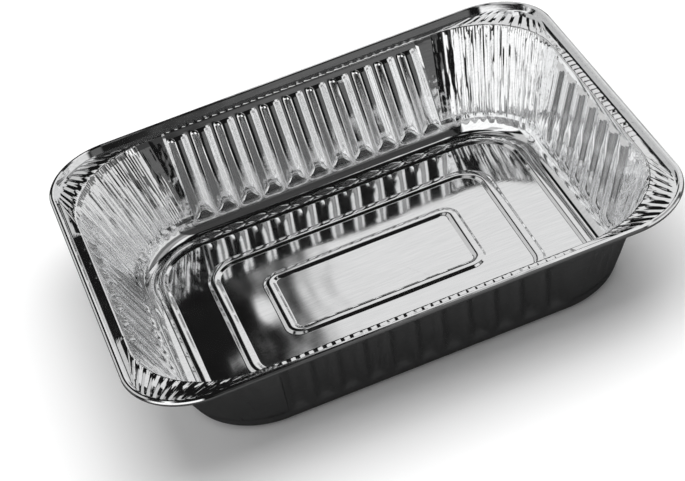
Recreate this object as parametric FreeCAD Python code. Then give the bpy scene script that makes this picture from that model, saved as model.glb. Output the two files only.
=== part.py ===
"""Rectangular aluminium foil tray, pressed from one sheet, in millimetres.

The origin is at the middle of the underside of the base. X runs along the long side and Z is up.
The sheet is one closed solid with two skins, one gauge apart: the food side and the underside.
Both skins are made of flat facets. They share one section, which goes round a rounded rectangle
from the curled edge, over the flange, down the wall and across the base.
"""
import FreeCAD
import Part
import math
import os

# Overall size and sheet
rim_length = 324.0
rim_width = 264.0
height = 65.0
gauge = 0.1

# Rolled bead and flange. The bead curls outwards from its shoulder, over its top, by the wrap.
bead_radius = 1.7
bead_shoulder = 45.0
bead_wrap = 270.0
bead_steps = 6
flange_drop = 3.8
bead_foot = 1.0
flange_band = 1.2
flange_edge = 10.4
edge_radius = 1.0
edge_steps = 2

# Wall and the cove that turns it into the base
wall_run = 24.1
cove_radius = 8.0
cove_steps = 3

# Corner radii in plan: outside of the rim, wall at the flange, wall at the base
rim_corner = 42.0
wall_corner_top = 58.0
wall_corner_base = 45.0

# Ribs pressed into the walls
rib_crest = 4.2
rib_flank = 4.1
rib_valley = 2.8
rib_depth = 2.3
rib_top_gap = 3.4
rib_top_bevel = 2.2
rib_foot_bevel = 5.0
rib_foot_height = 7.6

# Comb ridges on the straight parts of the flange
comb_width = 2.6
comb_gap = 2.7
comb_height = 0.35
comb_margin = 0.3
comb_length = 3.9
comb_taper = 0.8

# Pleats gathered at the corners, in the wall and in the flange
pleats = 13
pleat_depth = 1.0
pleat_spread = 0.45
pleat_top_gap = 4.0
pleat_foot_height = 13.0
flange_pleat_height = 0.6
flange_pleat_end_share = 0.25
pleat_phases = (2.3, 1.7, 0.9)

# Raised rings pressed into the base, by their distance from the edge of the flat base
ring_steps = 7
ring_height = 1.0
ring_slope = 1.9
ring_width = 7.4
ring_insets = (0.6, 30.0, 59.4)
inner_ring_corners = (21.0, 11.0)
least_ring_corner = 0.5

# Points closer than this are one point, and a patch this flat is one face
same_point = 1e-6
flat_enough = 1e-8

V = FreeCAD.Vector
UP = V(0, 0, 1)
CORNER_SIGNS = ((1, 1), (-1, 1), (-1, -1), (1, -1))
flange_z = height - flange_drop
wall_angle = math.atan2(flange_z - gauge, wall_run)
wall_foot = flange_edge + wall_run


def wall_inset(z):
    """Inset of the wall's food side from the rim, at a height."""
    return flange_edge + (flange_z - z) / math.tan(wall_angle)


def wall_corner(inset):
    """Corner radius of the wall in plan, which shrinks evenly towards the base."""
    share = (inset - flange_edge) / wall_run
    return wall_corner_top + share * (wall_corner_base - wall_corner_top)


def fillet(corner_inset, corner_z, radius, start, end, steps):
    """Points of an arc in the section that rounds a corner, between two slopes given as angles."""
    turn = end - start
    tangent = radius * math.tan(abs(turn) / 2)
    x = corner_inset - tangent * math.cos(start)
    z = corner_z + tangent * math.sin(start)
    points = [(x, z)]
    chord = 2 * radius * math.sin(abs(turn) / steps / 2)
    for step in range(steps):
        slope = start + turn * (step + 0.5) / steps
        x += chord * math.cos(slope)
        z -= chord * math.sin(slope)
        points.append((x, z))
    return points


def section():
    """The food side's section as named groups of levels, each an inset, a height and a radius."""
    bead = []
    for step in range(bead_steps, -1, -1):
        angle = math.radians(bead_shoulder + bead_wrap * step / bead_steps)
        inset = bead_radius * (1 + math.cos(angle))
        z = height - bead_radius * (1 - math.sin(angle))
        bead.append((inset, z, rim_corner - inset))
    foot = bead[-1][0] + bead_foot
    for inset in (foot, foot + flange_band):
        bead.append((inset, flange_z, rim_corner - inset))

    edge = fillet(flange_edge, flange_z, edge_radius, 0, wall_angle, edge_steps)
    wall = [(n, z, wall_corner(n)) for n, z in edge]
    for z in (wall[-1][1] - pleat_top_gap, pleat_foot_height):
        wall.append((wall_inset(z), z, wall_corner(wall_inset(z))))
    cove = fillet(wall_foot, gauge, cove_radius, wall_angle, 0, cove_steps)
    cove_start = cove[0][0]
    wall += [(n, z, wall_corner(cove_start) + cove_start - n) for n, z in cove]

    base_edge = cove[-1][0]
    outer_corner = wall[-1][2] - ring_insets[0]
    rings = []
    for inset, radius in zip(ring_insets, (outer_corner,) + inner_ring_corners):
        ring = []
        for run, rise in ((0, 0), (ring_slope, 1), (ring_width - ring_slope, 1), (ring_width, 0)):
            z = gauge + rise * ring_height
            ring.append((base_edge + inset + run, z, max(radius - run, least_ring_corner)))
        rings.append(ring)
    return bead, wall, rings


def underside(levels):
    """The same levels moved one gauge to the other side of the sheet, with mitred corners."""
    normals = []
    for (n1, z1, _), (n2, z2, _) in zip(levels, levels[1:]):
        length = math.hypot(n2 - n1, z2 - z1)
        normals.append(((z2 - z1) / length, (n1 - n2) / length))
    moved = []
    for index, (n, z, radius) in enumerate(levels):
        a = normals[max(index - 1, 0)]
        b = normals[min(index, len(normals) - 1)]
        scale = gauge / (1 + a[0] * b[0] + a[1] * b[1])
        dn = scale * (a[0] + b[0])
        dz = scale * (a[1] + b[1])
        moved.append((n + dn, z + dz, radius - dn))
    return moved


def gather(share):
    """How strongly a corner is gathered at a share of its turn: fully in its middle, not at its ends."""
    return math.sin(math.pi * share)


def pleat_push(corner, step):
    """How far a station of the corner stands in: every second one, by an uneven amount."""
    if step % 2 == 0:
        return 0.0
    fast, shift, slow = pleat_phases
    uneven = math.sin(fast * step + shift * corner) * math.cos(slow * step)
    return -pleat_depth * gather(step / (2 * pleats)) * (1 + pleat_spread * uneven)


def arcs(level, steps, pushed=False):
    """The four corner arcs of one level, anticlockwise, each as a list of points."""
    inset, z, radius = level
    result = []
    for corner, (sx, sy) in enumerate(CORNER_SIGNS):
        centre = V(sx * (rim_length / 2 - inset - radius), sy * (rim_width / 2 - inset - radius), z)
        arc = []
        for step in range(steps + 1):
            angle = math.radians(90 * (corner + step / steps))
            reach = radius + (pleat_push(corner, step) if pushed else 0)
            arc.append(centre + V(reach * math.cos(angle), reach * math.sin(angle), 0))
        result.append(arc)
    return result


def ring_of(level_arcs):
    """One closed loop of points from the four corner arcs."""
    return [point for arc in level_arcs for point in arc]


def loop(points):
    """A closed wire through the points."""
    return Part.makePolygon(points + points[:1])


def polygon(points):
    """A flat face through the points, or none where they have all but run together."""
    kept = [p for i, p in enumerate(points) if p.distanceToPoint(points[i - 1]) > same_point]
    return [Part.Face(loop(kept))] if len(kept) > 2 else []


def patch(a, b, c, d):
    """A four-sided patch: one face where it is flat, and otherwise two triangles."""
    normal = (b - a).cross(c - a)
    if abs(normal.dot(d - a)) <= flat_enough * normal.Length:
        return polygon([a, b, c, d])
    return polygon([a, b, c]) + polygon([a, c, d])


def strip(upper, lower, with_sides=True):
    """The faces between two levels that have the same stations."""
    faces = []
    for corner in range(4):
        for a, b, c, d in zip(upper[corner], upper[corner][1:], lower[corner][1:], lower[corner]):
            faces += patch(a, b, c, d)
        if with_sides:
            after = (corner + 1) % 4
            faces += patch(upper[corner][-1], upper[after][0], lower[after][0], lower[corner][-1])
    return faces


def raised(root, crest):
    """The faces of a small raised form between its outline on a flat panel and its crest."""
    faces = []
    for i in range(4):
        j = (i + 1) % 4
        faces += polygon([root[i], root[j], crest[j], crest[i]])
    return faces + polygon(crest)


def side_axes(side):
    """The outward and the anticlockwise direction of a side, and its half width."""
    angle = math.radians(90 * (side + 1))
    outward = V(round(math.cos(angle)), round(math.sin(angle)), 0)
    along = V(round(-math.sin(angle)), round(math.cos(angle)), 0)
    half = rim_width / 2 if side % 2 == 0 else rim_length / 2
    return outward, along, half


def places(span, size, gap):
    """Middles of as many copies as fit in a span, evenly spaced and centred."""
    count = max(int((span - size) / (size + gap)) + 1, 0)
    return [(size + gap) * (k - (count - 1) / 2) for k in range(count)]


def rib(side, place, depth_below):
    """Outline and crest of one wall rib, on the skin that lies the given depth below."""
    outward, along, half = side_axes(side)
    inward = UP * math.cos(wall_angle) - outward * math.sin(wall_angle)

    def at(offset, z, lift):
        point = outward * (half - wall_inset(z)) + along * (place + offset) + UP * z
        return point + inward * (lift - depth_below)

    top = flange_z - rib_top_gap
    foot = rib_foot_height
    root_half = rib_crest / 2 + rib_flank
    crest_half = rib_crest / 2
    high = top - rib_top_bevel
    low = foot + rib_foot_bevel
    root = [at(-root_half, top, 0), at(root_half, top, 0), at(root_half, foot, 0), at(-root_half, foot, 0)]
    crest = [
        at(-crest_half, high, rib_depth),
        at(crest_half, high, rib_depth),
        at(crest_half, low, rib_depth),
        at(-crest_half, low, rib_depth),
    ]
    return root, crest


def comb(side, place, z):
    """Outline and crest of one comb ridge across the flange, at the height of its skin."""
    outward, along, half = side_axes(side)

    def at(offset, inset, lift):
        return outward * (half - inset) + along * (place + offset) + UP * (z + lift)

    inner = flange_edge - edge_radius - comb_margin
    outer = inner - comb_length
    w = comb_width / 2
    root = [at(-w, outer, 0), at(w, outer, 0), at(w, inner, 0), at(-w, inner, 0)]
    near = at(0, outer + comb_taper, comb_height)
    far = at(0, inner - comb_taper, comb_height)
    return root, [near, near, far, far]


def flange_corner(outer, inner):
    """Radial pleats of one flange corner: gabled ridges between the bead side and the wall edge."""
    faces = []
    for k in range(pleats):
        a, b = outer[k], outer[k + 1]
        c, m, d = inner[2 * k + 2], inner[2 * k + 1], inner[2 * k]
        middle = (a + b) * 0.5
        near = middle + (m - middle) * flange_pleat_end_share
        far = m + (middle - m) * flange_pleat_end_share
        lift = UP * (flange_pleat_height * gather((k + 0.5) / pleats))
        near += lift
        far += lift
        faces += polygon([a, near, b])
        faces += patch(a, d, far, near)
        faces += patch(near, far, c, b)
        faces += polygon([d, m, far])
        faces += polygon([m, c, far])
    return faces


def panel(corners, outlines):
    """A flat panel with the outlines of its raised forms left open."""
    wires = [loop(corners)] + [loop(root) for root in outlines]
    return [Part.makeFace(wires, "Part::FaceMakerBullseye")]


def side_panels(levels, depth_below):
    """The four walls between the flange edge and the cove, with their ribs."""
    faces = []
    for side in range(4):
        after = (side + 1) % 4
        corners = [level[after][0] for level in levels]
        corners += [level[side][-1] for level in reversed(levels)]
        low = levels[-1]
        span = low[side][-1].distanceToPoint(low[after][0])
        middles = places(span, rib_crest + 2 * rib_flank, rib_valley)
        forms = [rib(side, place, depth_below) for place in middles]
        faces += panel(corners, [root for root, crest in forms])
        for root, crest in forms:
            faces += raised(root, crest)
    return faces


def flange_panels(outer, inner, z):
    """The four straight parts of the flange, with their comb ridges."""
    faces = []
    for side in range(4):
        after = (side + 1) % 4
        corners = [outer[side][-1], outer[after][0], inner[after][0], inner[side][-1]]
        span = inner[side][-1].distanceToPoint(inner[after][0])
        forms = [comb(side, place, z) for place in places(span, comb_width, comb_gap)]
        faces += panel(corners, [root for root, crest in forms])
        for root, crest in forms:
            faces += raised(root, crest)
        faces += flange_corner(outer[side], inner[side])
    return faces


def skin(levels, bead_count, wall_end, depth_below):
    """Every face of one skin, and the loop of its curled edge."""
    bead = [arcs(level, pleats) for level in levels[:bead_count]]
    wall_levels = levels[bead_count:wall_end]
    rings = levels[wall_end:]
    faces = []
    for upper, lower in zip(bead, bead[1:]):
        faces += strip(upper, lower)

    first_pleat = edge_steps + 1
    wall = []
    for index, level in enumerate(wall_levels):
        pushed = index in (first_pleat, first_pleat + 1)
        wall.append(arcs(level, 2 * pleats, pushed))
    faces += flange_panels(bead[-1], wall[0], wall_levels[0][1])
    panel_rows = wall[edge_steps:edge_steps + 4]
    faces += side_panels(panel_rows, depth_below)
    for index, (upper, lower) in enumerate(zip(wall, wall[1:])):
        on_panel = edge_steps <= index < edge_steps + 3
        faces += strip(upper, lower, with_sides=not on_panel)

    outline = ring_of(wall[-1])
    for start in range(0, len(rings), 4):
        ring = [arcs(level, ring_steps) for level in rings[start:start + 4]]
        faces += panel(outline, [ring_of(ring[0])])
        for upper, lower in zip(ring, ring[1:]):
            faces += strip(upper, lower)
        outline = ring_of(ring[-1])
    faces += polygon(outline)
    return faces, bead[0]


def tray():
    """The pressed sheet as one closed solid."""
    bead, wall, rings = section()
    food_levels = bead + wall + [level for ring in rings for level in ring]
    counts = (len(bead), len(bead) + len(wall))
    food, food_edge = skin(food_levels, *counts, 0)
    under, under_edge = skin(underside(food_levels), *counts, gauge)
    shell = Part.makeShell(food + under + strip(food_edge, under_edge))
    shell.sewShape()
    solid = Part.Solid(shell)
    if solid.Volume < 0:
        solid.reverse()
    return solid


os.makedirs("parts", exist_ok=True)
body = tray()
body.exportStep("parts/tray.step")
box = body.BoundBox
print("tray", body.isValid(), len(body.Solids), len(body.Faces), round(body.Volume, 1), "mm3")
print("box", round(box.XLength, 3), round(box.YLength, 3), round(box.ZLength, 3), round(box.ZMin, 4))
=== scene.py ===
"""Looks of the foil tray: one pressed sheet with curled edge, flange, fluted walls and ringed base.

Lengths in the sheet's section are in millimetres. The mesh is in metres, in the row frame: the
origin is under the middle of the base and Z is up. The sheet is a grid of stations round the tray
by rows down its section, and has two skins one gauge apart. A row's inset is its distance inwards
from the outer edge of the rim. Side 0 is the far side (+Y), and the others follow anticlockwise.
"""
import math
import bpy
import numpy as np
from mathutils import Matrix, Vector


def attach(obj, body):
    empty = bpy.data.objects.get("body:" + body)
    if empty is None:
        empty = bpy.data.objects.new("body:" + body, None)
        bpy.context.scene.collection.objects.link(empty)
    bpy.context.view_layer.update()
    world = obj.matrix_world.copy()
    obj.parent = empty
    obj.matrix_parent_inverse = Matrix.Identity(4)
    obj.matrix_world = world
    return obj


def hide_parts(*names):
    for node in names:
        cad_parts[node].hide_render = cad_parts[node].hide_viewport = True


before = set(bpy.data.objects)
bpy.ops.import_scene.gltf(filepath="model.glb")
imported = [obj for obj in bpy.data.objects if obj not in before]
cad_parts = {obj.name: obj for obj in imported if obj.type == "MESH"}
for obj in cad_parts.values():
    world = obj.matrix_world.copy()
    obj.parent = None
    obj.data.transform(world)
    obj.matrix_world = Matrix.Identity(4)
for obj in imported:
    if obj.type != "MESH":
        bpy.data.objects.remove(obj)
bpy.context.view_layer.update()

MM = 0.001
random = np.random.default_rng(7)

# Sizes of the sheet, as in the part's source, where the outer ring's corner radius is 38.0
rim_length = 324.0
rim_width = 264.0
height = 65.0
gauge = 0.1
bead_radius = 1.7
flange_z = 61.2
flange_start = 5.1
flange_edge = 10.4
edge_radius = 1.0
wall_run = 24.1
cove_radius = 8.0
rim_corner = 42.0
wall_corner_top = 58.0
wall_corner_base = 45.0
rib_pitch = 15.2
rib_crest = 4.2
rib_flank = 4.1
rib_depth = 2.3
rib_top = 57.8
rib_foot = 7.6
rib_foot_bevel = 5.0
ribs_on_side = (11, 7, 11, 7)
ring_height = 1.0
ring_slope = 1.9
ring_width = 7.4
ring_insets = (0.6, 30.0, 59.4)
ring_corners = (36.5, 21.0, 11.0)
wall_angle = math.atan2(flange_z - gauge, wall_run)

# Only here: the height of the slope at the ribs' tops by side, longer on the left
rib_top_bevels = (2.2, 4.5, 2.2, 2.2)

# Only here: how steeply the flange falls outwards, and the rows between it and the bead. Those on
# the bead's slanting inner side have an inset and a height, and those on the flange an inset
flange_fall = 0.07
bead_slant = ((3.35, 63.2), (3.85, 61.9))
flange_foot = (4.25, 4.6)

# The comb of small ridges across the flange, here along the ribbed part of three sides. In the
# part's source it is on all four sides, with ridges 5.3 apart and 0.35 high
comb_height = 0.3
comb_share = 0.62
combs_per_rib = 3
comb_reach = 1.15
comb_fade = 6
plain_side = 1

# Pleats of each corner, as in the part's source but for 0.3 in the heights where they fade
pleats = 13
pleat_depth = 1.0
pleat_spread = 0.45
pleat_phases = (2.3, 1.7, 0.9)
pleat_top = 56.3
pleat_foot = 13.0
pleat_end = flange_z - 0.9
cove_top = 5.2
flange_pleat_height = 0.6
flange_pleat_end_share = 0.25

# Only here: the finer folds between the pleats
fold_depth = 0.22
fold_least = 0.35
fold_foot = 8.0
fold_full = 13.0
fold_top_share = 0.8
fold_sway = 0.5
fold_wave = 8.0
flange_fold_depth = 0.1

# Only here: small dents in the far ribs (X, height, depth, size) and swells of the base
# (X, Y, height, size along X, size along Y)
dents = ((-60, 46, 0.7, 4), (-45, 45, 0.5, 3), (31, 52, 0.6, 3.5),
         (30, 24, 0.7, 3), (46, 25, 0.6, 3), (77, 20, 0.7, 4))
swells = ((-77, 2, 0.55, 9, 14), (-106, -36, 0.5, 8, 12))
base_wave = 0.1
base_wave_lift = 1.6

# How finely the grid follows the sheet
bead_points = 10
edge_steps = 3
cove_steps = 5
flange_shares = (0.15, 0.3, 0.5, 0.7, 0.85)
wall_heights = (58.9, 57.8, 56.7, 55.6, 53.3, 49, 43, 37, 31, 25, 19, 12.6, 11.4, 10.1, 8.9, 7.6)
ring_profile = ((0, 0), (0.2, 0.1), (0.8, 0.9), (1, 1))
beside_ring = 0.5
between_rings = (0.35, 0.65)
rib_steps = (-6.6, -5.8, -4.15, -2.5, -1.7, 0, 1.7, 2.5, 4.15, 5.8, 6.6, 7.6)
blend_steps = 6
fold_steps = 4
corner_steps = 2 * pleats * fold_steps
base_ratio = 4
least_corner = 0.5
row_margin = 0.1
flange_end = flange_edge - edge_radius + 0.3
sharp_angle = 24


def smooth(x):
    """Eased step from 0 to 1."""
    x = np.clip(x, 0, 1)
    return x * x * (3 - 2 * x)


def wall_inset(z):
    """Inset of the wall from the rim, at a height."""
    return flange_edge + (flange_z - z) / math.tan(wall_angle)


def wall_corner(inset):
    """Corner radius of the wall in plan."""
    along = (inset - flange_edge) / wall_run
    return wall_corner_top + along * (wall_corner_base - wall_corner_top)


def fillet(corner_inset, corner_z, radius, start, end, steps):
    """Points of an arc in the section that rounds a corner, between two slopes given as angles."""
    turn = end - start
    tangent = radius * math.tan(abs(turn) / 2)
    x = corner_inset - tangent * math.cos(start)
    z = corner_z + tangent * math.sin(start)
    points = [(x, z)]
    chord = 2 * radius * math.sin(abs(turn) / steps / 2)
    for step in range(steps):
        slope = start + turn * (step + 0.5) / steps
        x += chord * math.cos(slope)
        z -= chord * math.sin(slope)
        points.append((x, z))
    return points


def section():
    """Rows of the fine part of the sheet: inset, height and corner radius."""
    rows = []
    for angle in np.radians(np.linspace(315, 45, bead_points)):
        inset = bead_radius * (1 + math.cos(angle))
        z = height - bead_radius * (1 - math.sin(angle))
        rows.append((inset, z, rim_corner - inset))
    edge = fillet(flange_edge, flange_z, edge_radius, 0, wall_angle, edge_steps)
    edge_inset = edge[0][0]
    for inset, z in bead_slant:
        rows.append((inset, z, rim_corner - inset))
    for inset in (*flange_foot, flange_start):
        z = flange_z - flange_fall * (edge_inset - inset)
        rows.append((inset, z, rim_corner - inset))
    outer_corner = rim_corner - flange_start
    inner_corner = wall_corner(edge_inset)
    for share in flange_shares:
        inset = flange_start + share * (edge_inset - flange_start)
        z = flange_z - flange_fall * (edge_inset - inset)
        rows.append((inset, z, outer_corner + share * (inner_corner - outer_corner)))
    rows += [(n, z, wall_corner(n)) for n, z in edge]
    rows += [(wall_inset(z), z, wall_corner(wall_inset(z))) for z in wall_heights]
    cove = fillet(flange_edge + wall_run, gauge, cove_radius, wall_angle, 0, cove_steps)
    start = cove[0][0]
    rows += [(n, z, wall_corner(start) + start - n) for n, z in cove]
    return np.array(rows)


def stations():
    """Every station round the tray: side, share, offset and angle.

    The share is of the straight part's half length: 0 along the ribs, and 1 in the corner after
    them, where the angle turns from 0 to 90 degrees. The offset in millimetres is added to it.
    """
    table = []
    for side in range(4):
        ribs = ribs_on_side[side]
        middle = (ribs - 1) / 2
        offsets = [(k - middle) * rib_pitch + s for k in range(ribs) for s in rib_steps][:-1]
        last = offsets[-1]
        table += [(side, 0.0, offset, 0.0) for offset in offsets]
        for j in range(1, blend_steps):
            table.append((side, j / blend_steps, last * (1 - j / blend_steps), 0.0))
        table += [(side, 1.0, 0.0, 90 * step / corner_steps) for step in range(corner_steps + 1)]
        after = (side + 1) % 4
        first = (ribs_on_side[after] - 1) / 2 * rib_pitch - rib_steps[0]
        for j in range(blend_steps - 1, 0, -1):
            table.append((after, -j / blend_steps, -first * (1 - j / blend_steps), 0.0))
    return np.array(table)


table = stations()
count = len(table)
side_of = table[:, 0].astype(int)
share_of = table[:, 1]
offset_of = table[:, 2]
angle_of = np.radians(table[:, 3])
among_ribs = share_of == 0
in_corner = np.abs(share_of) == 1
quarter = np.pi / 2 * (side_of + 1)
out_x, out_y = np.round(np.cos(quarter)), np.round(np.sin(quarter))
along_x, along_y = -out_y, out_x
half_out = np.where(side_of % 2 == 0, rim_width, rim_length) / 2
half_along = np.where(side_of % 2 == 0, rim_length, rim_width) / 2
normal_x = out_x * np.cos(angle_of) + along_x * np.sin(angle_of)
normal_y = out_y * np.cos(angle_of) + along_y * np.sin(angle_of)

# Offsets spaced evenly, for the comb on the flange
nearest_rib = np.round(offset_of / rib_pitch) * rib_pitch
even_steps = (np.arange(len(rib_steps)) - rib_steps.index(0)) * rib_pitch / len(rib_steps)
even_offset = nearest_rib + np.interp(offset_of - nearest_rib, rib_steps, even_steps)
even_offset = np.where(among_ribs, even_offset, offset_of)


def ring_points(inset, radius, offset=offset_of):
    """Plan position of every station at one level."""
    across = half_out - inset - radius + radius * np.cos(angle_of)
    along = offset + share_of * (half_along - inset - radius) + radius * np.sin(angle_of)
    return np.stack([out_x * across + along_x * along, out_y * across + along_y * along], 1)


rows = section()
levels = len(rows)

# How far each station stands in for its pleat and fold, fully in the middle of a corner's turn
fast, shift, slow = pleat_phases
gather = np.sin(2 * angle_of) * in_corner
softer_gather = np.sqrt(np.clip(gather, 0, 1))
step_of = np.degrees(angle_of) / 90 * 2 * pleats
odd = 2 * np.floor(step_of / 2) + 1
pleat_shape = 1 - np.abs(step_of - odd)
pleat_uneven = np.sin(fast * odd + shift * side_of) * np.cos(slow * odd)
pleat_size = pleat_shape * (1 + pleat_spread * pleat_uneven) * gather
fold_sign = np.where(np.arange(count) % 2 == 0, 1, -1)
fold_size = fold_sign * (fold_least + random.random(count)) * softer_gather
fold_phase = random.random(count) * 6


def on_flange(inset):
    """Whether a row lies on the flat part of the flange."""
    return flange_start - row_margin < inset < flange_end


def row_normals():
    """The inward part and the upward part of the sheet's normal at every row of the section."""
    normals = []
    for i in range(levels):
        a, b = rows[max(i - 1, 0)], rows[min(i + 1, levels - 1)]
        run, drop = b[0] - a[0], a[1] - b[1]
        length = math.hypot(run, drop)
        normals.append((drop / length, run / length))
    return np.array(normals)


def relief():
    """How far every station of every row stands out from the plain sheet, towards the inside."""
    push = np.zeros((levels, count))
    rib_place = offset_of - nearest_rib
    rib_shape = np.clip((rib_crest / 2 + rib_flank - np.abs(rib_place)) / rib_flank, 0, 1)
    rib_shape = np.where(among_ribs, rib_shape, 0)
    top_bevel = np.array(rib_top_bevels)[side_of]
    comb_place = np.abs((even_offset / (rib_pitch / combs_per_rib) + 0.5) % 1 - 0.5) * 2
    comb_shape = np.clip(1 - comb_place / comb_share, 0, 1)
    comb_shape = comb_shape * among_ribs * (side_of != plain_side)
    for i, (inset, z, _) in enumerate(rows):
        if z < rib_top and inset > flange_edge:
            foot = min((z - rib_foot) / rib_foot_bevel, 1)
            tall = np.minimum((rib_top - z) / top_bevel, foot)
            push[i] += rib_depth * np.clip(np.minimum(rib_shape, tall), 0, None)
        if on_flange(inset):
            wide = (inset - flange_start) / (flange_edge - edge_radius - flange_start)
            push[i] += comb_height * smooth(min(wide, comb_reach - wide) * comb_fade) * comb_shape
            gable = np.clip(min(wide, 1 - wide) / flange_pleat_end_share, 0, 1)
            push[i] += flange_pleat_height * gable * pleat_shape * gather
            push[i] += flange_fold_depth * wide * fold_size
        if z < flange_z - row_margin and inset > flange_end:
            deep = np.interp(z, (cove_top, pleat_foot, pleat_top, pleat_end), (0, 1, 1, 0))
            push[i] += pleat_depth * deep * pleat_size
            fold = np.interp(z, (fold_foot, fold_full, flange_z), (0, 1, fold_top_share))
            sway = 1 + fold_sway * np.sin(z / fold_wave + fold_phase)
            push[i] += fold_depth * fold * fold_size * sway
        if inset > flange_edge:
            for x, dent_z, depth, size in dents:
                away = ((offset_of + x) / size) ** 2 + ((z - dent_z) / size) ** 2
                push[i] -= depth * np.exp(-away) * (among_ribs & (side_of == 0))
    return push


def fine_part():
    """Points of the sheet from the bead to the foot of the cove, by row and station."""
    points = []
    for (inset, z, radius), move, (inward, upward) in zip(rows, relief(), row_normals()):
        plan = ring_points(inset, radius, even_offset if on_flange(inset) else offset_of)
        x = plan[:, 0] - normal_x * move * inward
        y = plan[:, 1] - normal_y * move * inward
        points.append(np.stack([x, y, z + move * upward], 1))
    return np.array(points)


# Base: fewer stations, with the three raised rings and a slight unevenness
base_edge, _, base_corner = rows[-1]
coarse = np.arange(0, count, base_ratio)


def base_rows():
    """Rows of the base from its edge inwards: distance from the edge, height, corner radius."""
    result = []
    before = 0.0
    for inset, corner in zip(ring_insets, ring_corners):
        gap = inset - before
        if gap > 5:
            between = [gap * share for share in between_rings]
            for at in (beside_ring, *between, gap - beside_ring):
                result.append((before + at, 0.0, None))
        for run, rise in ring_profile:
            at = run * ring_slope
            result.append((inset + at, rise * ring_height, corner - at))
        for run, rise in reversed(ring_profile):
            at = ring_width - run * ring_slope
            result.append((inset + at, rise * ring_height, corner - at))
        before = inset + ring_width
    result.append((before + beside_ring, 0.0, None))
    return result


def fill_corners(items):
    """Corner radii where none is given, spaced evenly between the rows around."""
    known = [(-1.0, base_corner)] + [(n, r) for n, _, r in items if r is not None]
    known.append((rim_width / 2 - base_edge, least_corner))
    ns, rs = zip(*known)
    filled = []
    for n, z, r in items:
        corner = float(np.interp(n, ns, rs)) if r is None else max(r, least_corner)
        filled.append((n, z, corner))
    return filled


def warp(x, y):
    """Slight unevenness of the flat base."""
    wave = np.sin(x / 31 + 0.6) * np.sin(y / 27 + 1.1) + 0.6 * np.sin(x / 13 + y / 19)
    edge = smooth((118 - np.abs(x)) / 25) * smooth((88 - np.abs(y)) / 25)
    swell = 0
    for at_x, at_y, rise, size_x, size_y in swells:
        swell += rise * np.exp(-((x - at_x) / size_x) ** 2 - ((y - at_y) / size_y) ** 2)
    return base_wave * (wave + base_wave_lift) * edge + swell


def base_part():
    """Points of the base inside the cove, by row and station."""
    points = []
    straight = half_along[coarse] - base_edge - base_corner
    share = (offset_of[coarse] + share_of[coarse] * straight) / straight
    for inset, rise, radius in fill_corners(base_rows()):
        level = base_edge + inset
        across = half_out[coarse] - level - radius + radius * np.cos(angle_of[coarse])
        along = share * (half_along[coarse] - level - radius) + radius * np.sin(angle_of[coarse])
        x = out_x[coarse] * across + along_x[coarse] * along
        y = out_y[coarse] * across + along_y[coarse] * along
        points.append(np.stack([x, y, gauge + rise + warp(x, y)], 1))
    return np.array(points)


def vertex_normals(verts, faces):
    """Normals of an open skin at its vertices."""
    skin = bpy.data.meshes.new("sheet_normals")
    skin.from_pydata(verts.tolist(), [], faces)
    normals = np.zeros(len(verts) * 3)
    skin.vertices.foreach_get("normal", normals)
    bpy.data.meshes.remove(skin)
    return normals.reshape(-1, 3)


def build_sheet(fine, base):
    """The closed mesh of the sheet: both skins, joined along the curled edge."""
    few = len(coarse)
    verts = np.vstack([fine.reshape(-1, 3), base.reshape(-1, 3)])
    faces = []
    for i in range(levels - 1):
        for j in range(count):
            k = (j + 1) % count
            faces.append((i * count + j, (i + 1) * count + j, (i + 1) * count + k, i * count + k))
    first = levels * count
    last_row = (levels - 1) * count
    for j in range(few):
        k = (j + 1) % few
        low = coarse[j]
        high = coarse[k] if k else count
        top = [last_row + (m % count) for m in range(high, low - 1, -1)]
        faces.append(tuple(top + [first + j, first + k]))
    for i in range(len(base) - 1):
        for j in range(few):
            k = (j + 1) % few
            a = first + i * few
            faces.append((a + j, a + few + j, a + few + k, a + k))
    a = first + (len(base) - 1) * few
    faces.append(tuple(a + j for j in range(few)))

    other = verts - vertex_normals(verts, faces) * gauge
    total = len(verts)
    under = [tuple(total + v for v in reversed(face)) for face in faces]
    edge = []
    for j in range(count):
        k = (j + 1) % count
        edge.append((j, k, total + k, total + j))
    return np.vstack([verts, other]) * MM, faces + under + edge


fine, base = fine_part(), base_part()
verts, faces = build_sheet(fine, base)
mesh = bpy.data.meshes.new("foil_tray")
mesh.from_pydata(verts.tolist(), [], faces)
mesh.update()


def add_attribute(name, kind, field, values):
    """A point attribute with the same values on both skins."""
    made = mesh.attributes.new(name, kind, "POINT")
    made.data.foreach_set(field, np.concatenate([values, values]).ravel())


# Where a point lies on the sheet: round the tray, measured at mid height, and down the section
mid_height = 30
base_step = 3.0
mid_inset = wall_inset(mid_height)
mid_plan = ring_points(mid_inset, wall_corner(mid_inset))
round_of = np.concatenate([[0], np.cumsum(np.hypot(*np.diff(mid_plan, axis=0).T))])
run_down = np.concatenate([[0], np.cumsum(np.hypot(*np.diff(rows[:, :2], axis=0).T))])
base_run = run_down[-1] + base_step * np.arange(1, len(base) + 1)
fine_round, fine_down = np.meshgrid(round_of, run_down)
base_round, base_down = np.meshgrid(round_of[coarse], base_run)
sheet_round = np.concatenate([fine_round.ravel(), base_round.ravel()])
sheet_down = np.concatenate([fine_down.ravel(), base_down.ravel()])
sheet = np.stack([sheet_round, sheet_down, np.zeros(len(sheet_round))], 1) * MM
add_attribute("sheet", "FLOAT_VECTOR", "vector", sheet)

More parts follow.
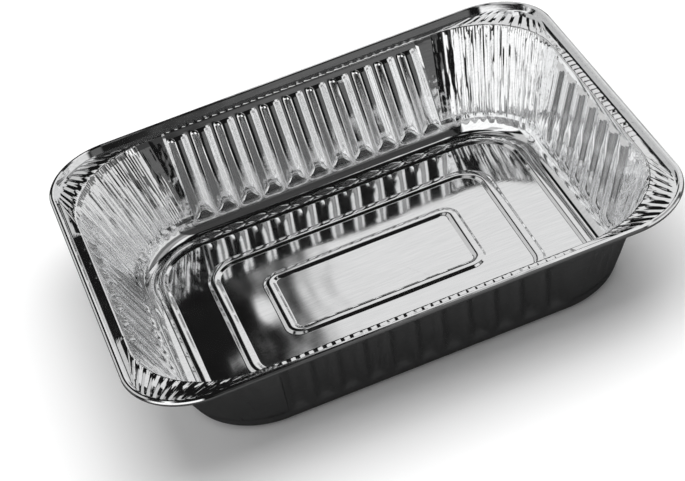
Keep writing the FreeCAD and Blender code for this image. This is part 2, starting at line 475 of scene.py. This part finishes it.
# How crinkled it is: a little on the flange, fully on the wall, not in the cove or on the base
flange_share, wall_share = 0.35, 0.65
crinkled = flange_share * smooth((rows[:, 0] - flange_start) / 2)
crinkled += wall_share * smooth((flange_z - rows[:, 1]) / 4)
crinkled *= smooth((rows[:, 1] - fold_foot) / 4)
beside = (np.abs(share_of) > 0) * (1 - np.clip(gather, 0, 1))
for name, shape in (("gathered", softer_gather), ("panel", beside)):
    values = np.concatenate([(crinkled[:, None] * shape).ravel(), np.zeros(base_round.size)])
    add_attribute(name, "FLOAT", "value", values)

mesh.shade_smooth()
mesh.set_sharp_from_angle(angle=math.radians(sharp_angle))
tray = bpy.data.objects.new("foil_tray", mesh)
bpy.context.scene.collection.objects.link(tray)
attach(tray, "root")
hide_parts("tray")

# Foil: bright rolled aluminium with fine grain and soft crinkles
foil = bpy.data.materials.new("foil")
foil.use_nodes = True
nodes, links = foil.node_tree.nodes, foil.node_tree.links
shader = nodes["Principled BSDF"]
shader.inputs["Metallic"].default_value = 1.0
dull_tint = (0.84, 0.845, 0.85, 1)
bright_tint = (0.92, 0.922, 0.925, 1)


def node(kind, **values):
    """A node of the foil's material with some of its settings."""
    made = nodes.new(kind)
    for name, value in values.items():
        setattr(made, name, value)
    return made


place = node("ShaderNodeTexCoord").outputs["Object"]


def texture(vector, stretch, scale, detail):
    """A noise texture on a stretched vector."""
    mapping = node("ShaderNodeMapping")
    mapping.inputs["Scale"].default_value = stretch
    links.new(vector, mapping.inputs["Vector"])
    made = node("ShaderNodeTexNoise")
    made.inputs["Scale"].default_value = scale
    made.inputs["Detail"].default_value = detail
    links.new(mapping.outputs["Vector"], made.inputs["Vector"])
    return made.outputs["Fac"]


def noise(scale, detail, stretch=(1, 1, 1)):
    """Noise in the tray's own coordinates, in features per metre."""
    return texture(place, stretch, scale, detail)


def attribute(name, output):
    """What a point attribute of the sheet says."""
    return node("ShaderNodeAttribute", attribute_name=name).outputs[output]


def streaks(across, down, detail):
    """Noise along the sheet: features per metre round the tray and down its section."""
    return texture(attribute("sheet", "Vector"), (across, down, 1), 1.0, detail)


def mapped(value, low, high):
    """The value from 0.3 to 0.7 spread over low to high."""
    made = node("ShaderNodeMapRange")
    made.inputs["From Min"].default_value = 0.3
    made.inputs["From Max"].default_value = 0.7
    made.inputs["To Min"].default_value = low
    made.inputs["To Max"].default_value = high
    links.new(value, made.inputs["Value"])
    return made.outputs["Result"]


def bump(height_value, distance, below=None):
    """A bump of the given depth in metres, over the one below."""
    made = node("ShaderNodeBump")
    made.inputs["Distance"].default_value = distance
    made.inputs["Strength"].default_value = 1.0
    links.new(height_value, made.inputs["Height"])
    if below is not None:
        links.new(below, made.inputs["Normal"])
    return made.outputs["Normal"]


def where(name, value):
    """The value faded by a point attribute."""
    made = node("ShaderNodeMath", operation="MULTIPLY")
    links.new(value, made.inputs[0])
    links.new(attribute(name, "Fac"), made.inputs[1])
    return made.outputs["Value"]


links.new(mapped(noise(40, 3), 0.05, 0.09), shader.inputs["Roughness"])
tint = node("ShaderNodeMix", data_type="RGBA")
tint.inputs["A"].default_value = dull_tint
tint.inputs["B"].default_value = bright_tint
links.new(mapped(noise(300, 2, (0.2, 3, 3)), 0, 1), tint.inputs["Factor"])
links.new(tint.outputs["Result"], shader.inputs["Base Color"])
broad = bump(noise(26, 2, (1, 0.35, 1)), 0.00035)
gathers = bump(where("gathered", streaks(190, 45, 1)), 0.0008, broad)
folds = bump(where("gathered", streaks(420, 30, 1)), 0.0006, gathers)
creases = bump(where("panel", noise(70, 3, (1, 1, 0.5))), 0.0012, folds)
grain = bump(noise(900, 2, (0.15, 1, 1)), 0.000008, creases)
links.new(grain, shader.inputs["Normal"])
mesh.materials.append(foil)

# Floor: pale to the camera and dark to what the foil mirrors, a little below the base
floor_half = 4.0
floor_drop = 0.0003
floor_seen = (0.93, 0.93, 0.93, 1)
floor_mirrored = (0.06, 0.06, 0.06, 1)
floor_mesh = bpy.data.meshes.new("floor")
floor_signs = ((-1, -1), (1, -1), (1, 1), (-1, 1))
floor_corners = [(x * floor_half, y * floor_half, 0) for x, y in floor_signs]
floor_mesh.from_pydata(floor_corners, [], [(0, 1, 2, 3)])
floor = bpy.data.objects.new("floor", floor_mesh)
floor.location.z = -floor_drop
bpy.context.scene.collection.objects.link(floor)
paper = bpy.data.materials.new("paper")
paper.use_nodes = True
pn, pl = paper.node_tree.nodes, paper.node_tree.links
pn["Principled BSDF"].inputs["Roughness"].default_value = 0.9
shade = pn.new("ShaderNodeMix")
shade.data_type = "RGBA"
shade.inputs["A"].default_value = floor_mirrored
shade.inputs["B"].default_value = floor_seen
pl.new(pn.new("ShaderNodeLightPath").outputs["Is Camera Ray"], shade.inputs["Factor"])
pl.new(shade.outputs["Result"], pn["Principled BSDF"].inputs["Base Color"])
floor_mesh.materials.append(paper)

# World: bright windows in a dark room for what the foil mirrors, by direction. White to the camera.
# Each window's left and right azimuth, lowest and highest elevation, strength and half edge width
windows = [
    (-166, -118, 7, 64, 1.1, 2.5),
    (-118, -96, 7, 38, 1.1, 2.5),
    (-118, -96, 38, 64, 0.55, 2.5),
    (-96, -78, 7, 64, 1.1, 2.5),
    (-64, -8, 8, 54, 0.6, 1.5),
    (-32, 4, 56, 68, 0.4, 3.0),
    (7.2, 20.8, 31, 50, 0.78, 1.2),
    (20.8, 66, 3, 50, 0.78, 1.2),
    (70, 152, -8, 43, 0.16, 3.0),
    (70, 152, 43, 60, 0.38, 3.0),
    (64, 150, -8, 22, 0.6, 3.0),
    (156, 175, -8, 22, 0.12, 3.0),
    (150, 190, 22, 76, 0.045, 3.0),
    (70, 150, 62, 76, 0.85, 2.0),
    (-84, -42, 62, 82, 0.5, 3.0),
    (-190, 190, 87, 100, 0.5, 2.0),
]
room_level = 0.008
world = bpy.data.worlds.new("studio")
bpy.context.scene.world = world
world.use_nodes = True
wn, wl = world.node_tree.nodes, world.node_tree.links
wn.clear()


def world_math(operation, a, b=None):
    """One math node of the world on values or sockets."""
    made = wn.new("ShaderNodeMath")
    made.operation = operation
    for socket, value in zip(made.inputs, (a, b)):
        if isinstance(value, (int, float)):
            socket.default_value = value
        elif value is not None:
            wl.new(value, socket)
    return made.outputs["Value"]


def ramp(value, start, end):
    """An eased ramp from 0 at the start to 1 at the end."""
    made = wn.new("ShaderNodeMapRange")
    made.interpolation_type = "SMOOTHSTEP"
    made.inputs["From Min"].default_value = start
    made.inputs["From Max"].default_value = end
    wl.new(value, made.inputs["Value"])
    return made.outputs["Result"]


parts = wn.new("ShaderNodeSeparateXYZ")
wl.new(wn.new("ShaderNodeTexCoord").outputs["Generated"], parts.inputs["Vector"])
azimuth = world_math("ARCTAN2", parts.outputs["X"], parts.outputs["Y"])
elevation = world_math("ARCSINE", parts.outputs["Z"])


def window(left, right, low, high, strength, edge):
    """A bright window between two azimuths, from +Y towards +X, and two elevations, in degrees."""
    left, right, low, high, edge = (math.radians(v) for v in (left, right, low, high, edge))
    value = ramp(azimuth, left - edge, left + edge)
    value = world_math("MULTIPLY", value, ramp(azimuth, right + edge, right - edge))
    value = world_math("MULTIPLY", value, ramp(elevation, low - edge, low + edge))
    value = world_math("MULTIPLY", value, ramp(elevation, high + edge, high - edge))
    return world_math("MULTIPLY", value, strength)


total = room_level
for item in windows:
    total = world_math("ADD", window(*item), total)
mirrored = wn.new("ShaderNodeBackground")
wl.new(total, mirrored.inputs["Color"])
white = wn.new("ShaderNodeBackground")
white.inputs["Color"].default_value = (1, 1, 1, 1)
choice = wn.new("ShaderNodeMixShader")
wl.new(wn.new("ShaderNodeLightPath").outputs["Is Camera Ray"], choice.inputs["Fac"])
wl.new(mirrored.outputs["Background"], choice.inputs[1])
wl.new(white.outputs["Background"], choice.inputs[2])
wl.new(choice.outputs["Shader"], wn.new("ShaderNodeOutputWorld").inputs["Surface"])

# Camera at the photograph's viewing angle: its right and up directions, place and lens
camera_right = Vector((0.926, -0.309, -0.216)).normalized()
camera_up = Vector((0.356, 0.526, 0.772))
camera_place = Vector((-0.1720, -1.0056, 0.7871))
camera_up = (camera_up - camera_right * camera_up.dot(camera_right)).normalized()
pose = Matrix((camera_right, camera_up, camera_right.cross(camera_up))).transposed().to_4x4()
pose.translation = camera_place
camera_data = bpy.data.cameras.new("camera")
camera_data.sensor_width = 36
camera_data.lens = 115.24
camera = bpy.data.objects.new("camera", camera_data)
bpy.context.scene.collection.objects.link(camera)
camera.matrix_world = pose
bpy.context.scene.camera = camera

# Lamp for the floor and the tray's shadow, not mirrored by the foil
lamp_data = bpy.data.lights.new("top", "AREA")
lamp_data.energy = 56
lamp_data.size = 2.5
lamp = bpy.data.objects.new("top", lamp_data)
lamp.location = (0.4, 0.2, 2.2)
lamp.visible_glossy = False
bpy.context.scene.collection.objects.link(lamp)

bpy.context.scene.view_settings.view_transform = "Standard"
